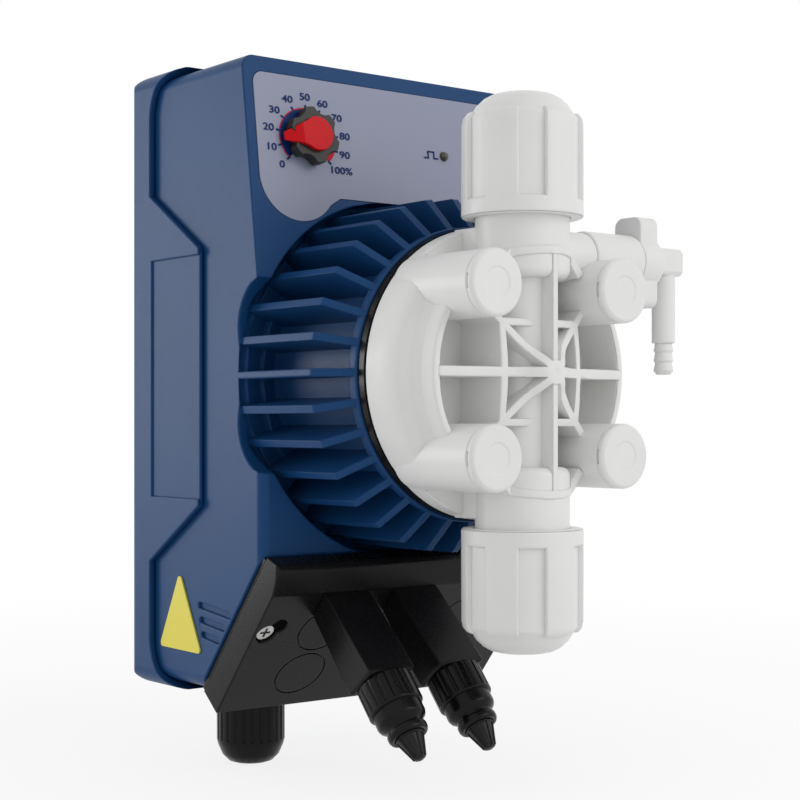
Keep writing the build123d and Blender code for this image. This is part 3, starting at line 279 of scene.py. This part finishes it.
# skived PTFE of the diaphragm: waxy, dull white
ptfeWhite = mouldedPlastic("skivedPtfe", {
    "color": "#e8e8e4", "deep": "#e0e0dc", "drift": 10, "grain": 0.5, "relief": 0.02,
    "strength": 0.2, "rough": 0.5, "edge": 0.2, "ior": 1.38})

# polished alumina of the valve balls: ivory, sharp gloss
ballCeramic = mouldedPlastic("polishedAlumina", {
    "color": "#f2efe6", "deep": "#ece8de", "drift": 4, "grain": 0.3, "relief": 0.005,
    "strength": 0.1, "rough": 0.12, "edge": 0.1, "ior": 1.76})

# natural nylon of the spacers: milky, half gloss
nylonNatural = mouldedPlastic("mouldedNaturalNylon", {
    "color": "#cfcdc4", "deep": "#c6c4ba", "drift": 8, "grain": 0.4, "relief": 0.02,
    "strength": 0.2, "rough": 0.45, "edge": 0.2, "ior": 1.53})

# grey polyester of the terminal strip: plain, half gloss
terminalGrey = mouldedPlastic("mouldedGreyPolyester", {
    "color": "#74767a", "deep": "#6a6c70", "drift": 8, "grain": 0.4, "relief": 0.02,
    "strength": 0.2, "rough": 0.45, "edge": 0.2, "ior": 1.57})

# solder mask on the board: deep green, glossy
boardGreen = mouldedPlastic("solderMaskGreen", {
    "color": "#1c5a34", "deep": "#17502d", "drift": 6, "grain": 0.7, "relief": 0.02,
    "strength": 0.2, "rough": 0.3, "edge": 0.1, "ior": 1.5})


def turnedMetal(name, look):
    # line is the mm between tool marks, stretch how much closer they lie along each axis
    material, tree, shader = newMaterial(name)
    where = addNode(tree, "TexCoord").outputs["Object"]
    stretch = addNode(tree, "Mapping", {"Vector": where, "Scale": look["stretch"]})
    marks = addNode(tree, "TexNoise", {"Vector": stretch.outputs[0],
                                       "Scale": 1 / (look["line"] * mm),
                                       "Detail": 3.0, "Roughness": 0.6}).outputs["Fac"]
    surface(tree, shader, look, marks, marks, strength=0.2, smoother=0.04, rougher=0.08)
    shader.inputs["Metallic"].default_value = 1.0
    return material


# zinc-plated steel: pale grey, evenly bright
zincPlate = turnedMetal("zincPlatedSteel", {
    "color": "#b9bcbf", "deep": "#a6a9ac", "rough": 0.3, "line": 0.4, "relief": 0.01,
    "stretch": (1, 1, 1), "edge": 0.15})

# nickel-plated steel: bright, with darker patches
screwNickel = turnedMetal("nickelPlatedSteel", {
    "color": "#c9c9c7", "deep": "#8e8e8c", "rough": 0.18, "line": 0.8, "relief": 0.03,
    "stretch": (1, 1, 1), "edge": 0.15})

# turned steel: close rings across the pump's axis
steelTurned = turnedMetal("turnedFreeCuttingSteel", {
    "color": "#a9a8a4", "deep": "#979691", "rough": 0.28, "line": 0.3, "relief": 0.01,
    "stretch": (1, 12, 1), "edge": 0.2})

# turned brass: yellow, with the same close rings
brassTurned = turnedMetal("turnedBrass", {
    "color": "#c9a54f", "deep": "#bb9745", "rough": 0.25, "line": 0.3, "relief": 0.01,
    "stretch": (1, 12, 1), "edge": 0.15})

# enamelled copper: orange brown, with the lines of the turns
copperWire = turnedMetal("enamelledCopperWire", {
    "color": "#b5652f", "deep": "#9c5426", "rough": 0.3, "line": 0.6, "relief": 0.03,
    "stretch": (1, 6, 1), "edge": 0.2})

# epoxy lens of the lamp, unlit: smoky brown, glossy
lensSmoke = mouldedPlastic("castEpoxyLens", {
    "color": "#59564a", "deep": "#4a473d", "drift": 2, "grain": 0.3, "relief": 0.002,
    "strength": 0.1, "rough": 0.12, "edge": 0.1, "ior": 1.55})

# which nodes take which finish
finishes = [
    (caseBlue, ["front_housing", "rear_cover"]),
    (headWhite, ["pump_head", "boss_caps", "discharge_nut", "suction_nut", "discharge_nipple",
                 "suction_nipple", "discharge_clamp_ring", "suction_clamp_ring", "discharge_cage",
                 "suction_cage", "discharge_seat", "suction_seat", "bleed_body", "bleed_handle",
                 "bleed_spout"]),
    (lidBlack, ["terminal_lid", "signal_chutes"]),
    (nutBlack, ["signal_nuts", "gland_nut", "gland_body", "gland_locknut", "backplate",
                "coil_bobbin"]),
    (sealRubber, ["signal_cones", "gland_seal", "lid_gasket", "housing_gasket",
                  "discharge_seat_ring", "suction_seat_ring", "bleed_ring"]),
    (bracketGrey, ["wall_bracket"]),
    (knobBlack, ["dial_knob"]),
    (pointerRed, ["knob_pointer"]),
    (filmGrey, ["panel_overlay"]),
    (plateYellow, ["warning_triangle"]),
    (ptfeWhite, ["diaphragm"]),
    (ballCeramic, ["discharge_ball", "suction_ball"]),
    (nylonNatural, ["board_spacers"]),
    (terminalGrey, ["terminal_block"]),
    (boardGreen, ["circuit_board"]),
    (zincPlate, ["cover_screws", "bracket_screws", "potentiometer", "dial_shaft"]),
    (screwNickel, ["lid_screws", "head_screws"]),
    (steelTurned, ["armature", "plunger_shaft", "return_spring", "solenoid_can",
                   "solenoid_back_plate", "diaphragm_insert"]),
    (brassTurned, ["pole_bush", "head_inserts"]),
    (copperWire, ["coil_winding"]),
    (lensSmoke, ["status_led"]),
]
for finish, names in finishes:
    for name in names:
        mesh = nodes[name].data
        mesh.materials.clear()
        mesh.materials.append(finish)
bare = set(nodes) - {name for _, names in finishes for name in names}
print("finishes done, left bare:", sorted(bare))


# Moulded edges

# mm: merge. Degrees: flat is what counts as one face, sharpest the mildest corner that is broken,
# and the creases are where shading stays sharp. Shares of the width: room, astray and aside.
edgeLook = {"merge": 0.002, "flat": 0.5, "sharpest": 28, "segments": 2, "rounds": 3,
            "room": 1.3, "astray": 0.6, "aside": 0.4, "outerCrease": 47, "innerCrease": 14}

# mm of rounding on each outer moulding
softWidths = {"front_housing": 0.5, "rear_cover": 0.5, "terminal_lid": 0.45, "signal_chutes": 0.4,
              "pump_head": 0.4, "discharge_nut": 0.4, "suction_nut": 0.4, "boss_caps": 0.3,
              "bleed_body": 0.3, "bleed_handle": 0.4, "bleed_spout": 0.3, "gland_nut": 0.25,
              "signal_nuts": 0.25, "signal_cones": 0.2, "dial_knob": 0.25, "knob_pointer": 0.25,
              "wall_bracket": 0.4}

# mouldings whose milder corners are broken too, in degrees
softFrom = {"terminal_lid": 12, "rear_cover": 16}

# places and reaches in mm whose edges stay sharp: the head's hub, and the cover's screw holes
# that run into its rounded corners
keptSharp = {"pump_head": [((0, -148, 62), 9)],
             "rear_cover": [((x, -7, z), 5) for x in (-44.5, 44.5) for z in (-28.5, 150)]}


def keepPiece(bm, name, material, body):
    # a finished piece: its mesh, its finish and the body that it rides on
    mesh = bpy.data.meshes.new(name)
    bm.to_mesh(mesh)
    bm.free()
    mesh.materials.append(material)
    piece = bpy.data.objects.new(name, mesh)
    bpy.context.scene.collection.objects.link(piece)
    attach(piece, body)
    return piece


def nearEdge(edge, place, reach):
    # true where the edge passes closer to the place than the reach
    start, end = edge.verts[0].co, edge.verts[1].co
    along = end - start
    share = (place - start).dot(along) / max(along.length_squared, 1e-18)
    return (start + along * min(max(share, 0), 1) - place).length < reach


def roomBeside(edge, chosen, width):
    # both ends need room on the edges that the bevel slides along
    sides = [other for vert in edge.verts for other in vert.link_edges if other not in chosen]
    return all(other.calc_length() > edgeLook["room"] * width * mm for other in sides)


def evenShading(piece, keepCreases):
    # large flat faces keep their own shade beside the small rounded ones
    weighted = piece.modifiers.new("flatFaces", "WEIGHTED_NORMAL")
    weighted.weight = 100
    weighted.keep_sharp = keepCreases


def softEdges(name, width, sharpest):
    # the same solid with its corners broken; a corner where the bevel runs away stays sharp
    source = bmesh.new()
    source.from_mesh(nodes[name].data)
    bmesh.ops.remove_doubles(source, verts=source.verts, dist=edgeLook["merge"] * mm)
    bmesh.ops.dissolve_limit(source, angle_limit=math.radians(edgeLook["flat"]),
                             verts=source.verts, edges=source.edges, delimit={"NORMAL"})
    surfaceTree = BVHTree.FromBMesh(source)
    left = [(Vector(place) * mm, reach * mm) for place, reach in keptSharp.get(name, [])]
    for attempt in range(edgeLook["rounds"]):
        bm = source.copy()
        edges = {edge for edge in bm.edges if len(edge.link_faces) == 2 and edge.is_convex
                 and edge.calc_face_angle() > math.radians(sharpest)
                 and not any(nearEdge(edge, place, reach) for place, reach in left)}
        edges = [edge for edge in edges if roomBeside(edge, edges, width)]
        bmesh.ops.bevel(bm, geom=edges, offset=width * mm, offset_type="OFFSET",
                        segments=edgeLook["segments"], profile=0.5, affect="EDGES",
                        clamp_overlap=False, material=-1, loop_slide=True, miter_outer="ARC")
        found = [surfaceTree.find_nearest(vert.co) for vert in bm.verts]
        astray = [place for place, _, _, away in found
                  if away > edgeLook["astray"] * width * mm]
        if not astray or attempt == edgeLook["rounds"] - 1:
            break
        left.extend((place, edgeLook["aside"] * width * mm) for place in astray)
        bm.free()
    print("soft edges:", name, "places left sharp", len(left), "points astray", len(astray))
    source.free()
    bm.normal_update()
    for face in bm.faces:
        face.smooth = True
    for edge in bm.edges:
        crease = math.radians(edgeLook["outerCrease" if edge.is_convex else "innerCrease"])
        edge.smooth = len(edge.link_faces) == 2 and edge.calc_face_angle() < crease
    piece = keepPiece(bm, name + "_moulding", nodes[name].data.materials[0],
                      nodes[name]["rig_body"])
    evenShading(piece, True)
    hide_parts(name)


for name, width in softWidths.items():
    softEdges(name, width, softFrom.get(name, edgeLook["sharpest"]))
print("moulded edges done")


# Grip pads of the union nuts

# mm, with turn, half and corner in degrees: half of a pad's width, and the mildest corner that
# is rounded. The profile gives radius and height from the head's middle, up and over the shoulder.
padLook = {"y": -138.4, "z": 62.0, "turn": 27.6, "half": 16.8, "count": 6, "steps": 8,
           "corner": 60, "soften": 0.45, "segments": 3,
           "profile": [(15.0, 46.8), (17.55, 46.8), (17.66, 51.5), (17.58, 71.4), (17.2, 73.2),
                       (16.2, 74.4), (15.0, 74.7)]}


def gripPads(name, nut, up):
    # up is 1 for the nut above the head and -1 for the one below it
    bm = bmesh.new()
    for number in range(padLook["count"]):
        outline = [bm.verts.new((radius, 0, up * height))
                   for radius, height in padLook["profile"]]
        side = bm.faces.new(outline)
        start = math.radians(padLook["turn"] + 360 / padLook["count"] * number - padLook["half"])
        bmesh.ops.rotate(bm, verts=outline, cent=(0, 0, 0), matrix=Matrix.Rotation(start, 3, "Z"))
        bmesh.ops.spin(bm, geom=[side, *side.edges, *outline], cent=(0, 0, 0), axis=(0, 0, 1),
                       angle=math.radians(2 * padLook["half"]), steps=padLook["steps"],
                       use_merge=False)
    bmesh.ops.recalc_face_normals(bm, faces=bm.faces)
    corners = [edge for edge in bm.edges if len(edge.link_faces) == 2
               and edge.calc_face_angle() > math.radians(padLook["corner"])]
    bmesh.ops.bevel(bm, geom=corners, offset=padLook["soften"], segments=padLook["segments"],
                    profile=0.5, affect="EDGES", material=-1)
    for face in bm.faces:
        face.smooth = True
    bmesh.ops.translate(bm, vec=(0, padLook["y"], padLook["z"]), verts=bm.verts)
    bmesh.ops.scale(bm, vec=(mm, mm, mm), verts=bm.verts)
    evenShading(keepPiece(bm, name, headWhite, nodes[nut]["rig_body"]), False)


gripPads("discharge_grip_pads", "discharge_nut", 1)
gripPads("suction_grip_pads", "suction_nut", -1)
print("grip pads done")


# Return spring: a merged, smooth-shaded copy with its own mesh, riding on the spring's body

def closingSpring():
    bm = bmesh.new()
    bm.from_mesh(nodes["return_spring"].data)
    bmesh.ops.remove_doubles(bm, verts=bm.verts, dist=edgeLook["merge"] * mm)
    for face in bm.faces:
        face.smooth = True
    piece = keepPiece(bm, "return_spring_coil", steelTurned, nodes["return_spring"]["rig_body"])
    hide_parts("return_spring")
    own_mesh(piece)


closingSpring()
print("return spring done")


# Panel print

# mm: height where the lean starts, its place in y, and the film; lean in degrees
panelShape = {"start": 72.0, "front": -83.3, "lean": 7.4, "film": 0.3}


def panelMatrix(x, z, lift):
    # frame on the leaning panel face: right, up the slope, outwards
    lean = math.radians(panelShape["lean"])
    out = Vector((0, -math.cos(lean), math.sin(lean)))
    up = Vector((0, math.sin(lean), math.cos(lean)))
    y = panelShape["front"] + (z - panelShape["start"]) * math.tan(lean)
    place = Vector((x, y, z)) + out * lift
    turn = Matrix((Vector((1, 0, 0)), up, out)).transposed().to_4x4()
    return Matrix.Translation(place * mm) @ turn


def printedInk(name, hexColor):
    # screen ink on film: a thin matt layer with a slightly uneven edge tone
    return mouldedPlastic(name, {
        "color": hexColor, "deep": hexColor, "drift": 5, "grain": 0.3, "relief": 0.005,
        "strength": 0.15, "rough": 0.45, "edge": 0.05, "ior": 1.5, "shine": 0.12})


inkNavy = printedInk("printedNavyInk", "#0f2c66")
inkRed = printedInk("printedRedInk", "#cc1f38")


# mm from the dial's centre; start and step are degrees to each next mark. The red band grows
# from redThin by redThick, slowly at first. bandLift and markLift stand over the film.
scaleLook = {"x": -31.5, "z": 135.0, "start": 225, "step": -27, "marks": 11, "perMark": 10,
             "markIn": 10.1, "markOut": 11.7, "markWide": 0.6, "numbersAt": 14.4,
             "numberHigh": 3.1, "numberWide": 1.3, "bold": 0.05, "percentAside": 1.6,
             "arcIn": 7.0, "arcOut": 10.6, "arcSteps": 90, "redThin": 0.3, "redThick": 1.5,
             "redGrowth": 3, "oval": 0.9, "inkLift": 0.04, "bandLift": 0.02, "markLift": 0.05}


def spot(angle, radius):
    # the print is a little lower than wide
    turn = math.radians(angle)
    return Vector((radius * math.cos(turn), scaleLook["oval"] * radius * math.sin(turn), 0))


def scaleBand(name, inner, outer, material):
    # flat band round the dial; inner and outer give the radius at a share of the sweep
    bm = bmesh.new()
    sweep = scaleLook["step"] * (scaleLook["marks"] - 1)
    rows = []
    for step in range(scaleLook["arcSteps"] + 1):
        share = step / scaleLook["arcSteps"]
        angle = scaleLook["start"] + share * sweep
        low = bm.verts.new(spot(angle, inner(share)))
        high = bm.verts.new(spot(angle, outer(share)))
        rows.append((low, high))
    for (a, b), (c, d) in zip(rows, rows[1:]):
        bm.faces.new((a, c, d, b)).normal_update()
    bmesh.ops.recalc_face_normals(bm, faces=bm.faces)
    bmesh.ops.solidify(bm, geom=bm.faces[:], thickness=-scaleLook["inkLift"])
    bmesh.ops.scale(bm, vec=(mm, mm, mm), verts=bm.verts)
    lift = panelShape["film"] + scaleLook["bandLift"]
    bm.transform(panelMatrix(scaleLook["x"], scaleLook["z"], lift))
    keepPiece(bm, name, material, "casing")


def redInner(share):
    grown = scaleLook["redThick"] * share ** scaleLook["redGrowth"]
    return scaleLook["arcOut"] - scaleLook["redThin"] - grown


scaleBand("scale_blue_band", lambda share: scaleLook["arcIn"], redInner, inkNavy)
scaleBand("scale_red_band", redInner, lambda share: scaleLook["arcOut"], inkRed)


markHeight = panelShape["film"] + scaleLook["markLift"]


def scaleMarks():
    # a short stroke at each number
    bm = bmesh.new()
    for number in range(scaleLook["marks"]):
        angle = scaleLook["start"] + scaleLook["step"] * number
        start, end = spot(angle, scaleLook["markIn"]), spot(angle, scaleLook["markOut"])
        along = end - start
        turn = Matrix.Rotation(math.atan2(along.y, along.x), 4, "Z")
        size = Matrix.Diagonal((along.length, scaleLook["markWide"], scaleLook["inkLift"], 1))
        middle = Matrix.Translation((start + end) / 2)
        bmesh.ops.create_cube(bm, size=1, matrix=middle @ turn @ size)
    bmesh.ops.scale(bm, vec=(mm, mm, mm), verts=bm.verts)
    bm.transform(panelMatrix(scaleLook["x"], scaleLook["z"], markHeight))
    keepPiece(bm, "scale_marks", inkNavy, "casing")


def scaleNumber(name, words, x, y):
    # words centred on a point given in mm from the dial's centre
    curve = bpy.data.curves.new(name, "FONT")
    curve.body = words
    curve.size = scaleLook["numberHigh"] * mm
    curve.align_x = "CENTER"
    curve.align_y = "CENTER"
    curve.extrude = scaleLook["inkLift"] / 2 * mm
    curve.offset = scaleLook["bold"] * mm
    curve.resolution_u = 4
    text = bpy.data.objects.new(name, curve)
    bpy.context.scene.collection.objects.link(text)
    bpy.context.view_layer.update()
    mesh = bpy.data.meshes.new_from_object(text)
    bpy.data.objects.remove(text)
    place = panelMatrix(scaleLook["x"], scaleLook["z"], markHeight)
    stretch = Matrix.Diagonal((scaleLook["numberWide"], 1, 1, 1))
    mesh.transform(place @ Matrix.Translation((x * mm, y * mm, 0)) @ stretch)
    mesh.materials.clear()
    mesh.materials.append(inkNavy)
    piece = bpy.data.objects.new(name, mesh)
    bpy.context.scene.collection.objects.link(piece)
    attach(piece, "casing")


scaleMarks()
for number in range(scaleLook["marks"]):
    place = spot(scaleLook["start"] + scaleLook["step"] * number, scaleLook["numbersAt"])
    words = str(number * scaleLook["perMark"])
    last = number == scaleLook["marks"] - 1
    shift = scaleLook["percentAside"] if last else 0.0
    scaleNumber("scale_number_" + words, words + ("%" if last else ""), place.x + shift, place.y)

# mm; top is the share of the width that the raised part takes
pulseLook = {"x": 17.2, "z": 134.7, "wide": 5.4, "high": 2.1, "line": 0.5, "top": 0.45}


def pulseSign():
    # square pulse drawn as five strokes
    half = pulseLook["wide"] / 2
    step = half * pulseLook["top"]
    low, high = -pulseLook["high"] / 2, pulseLook["high"] / 2
    line = pulseLook["line"]
    strokes = [(-half, low, -step, low), (-step, low, -step, high), (-step, high, step, high),
               (step, high, step, low), (step, low, half, low)]
    bm = bmesh.new()
    for x1, y1, x2, y2 in strokes:
        size = Matrix.Diagonal((abs(x2 - x1) + line, abs(y2 - y1) + line, scaleLook["inkLift"], 1))
        middle = Matrix.Translation(((x1 + x2) / 2, (y1 + y2) / 2, 0))
        bmesh.ops.create_cube(bm, size=1, matrix=middle @ size)
    bmesh.ops.scale(bm, vec=(mm, mm, mm), verts=bm.verts)
    bm.transform(panelMatrix(pulseLook["x"], pulseLook["z"], markHeight))
    keepPiece(bm, "pulse_sign", inkNavy, "casing")


pulseSign()
print("panel print done")
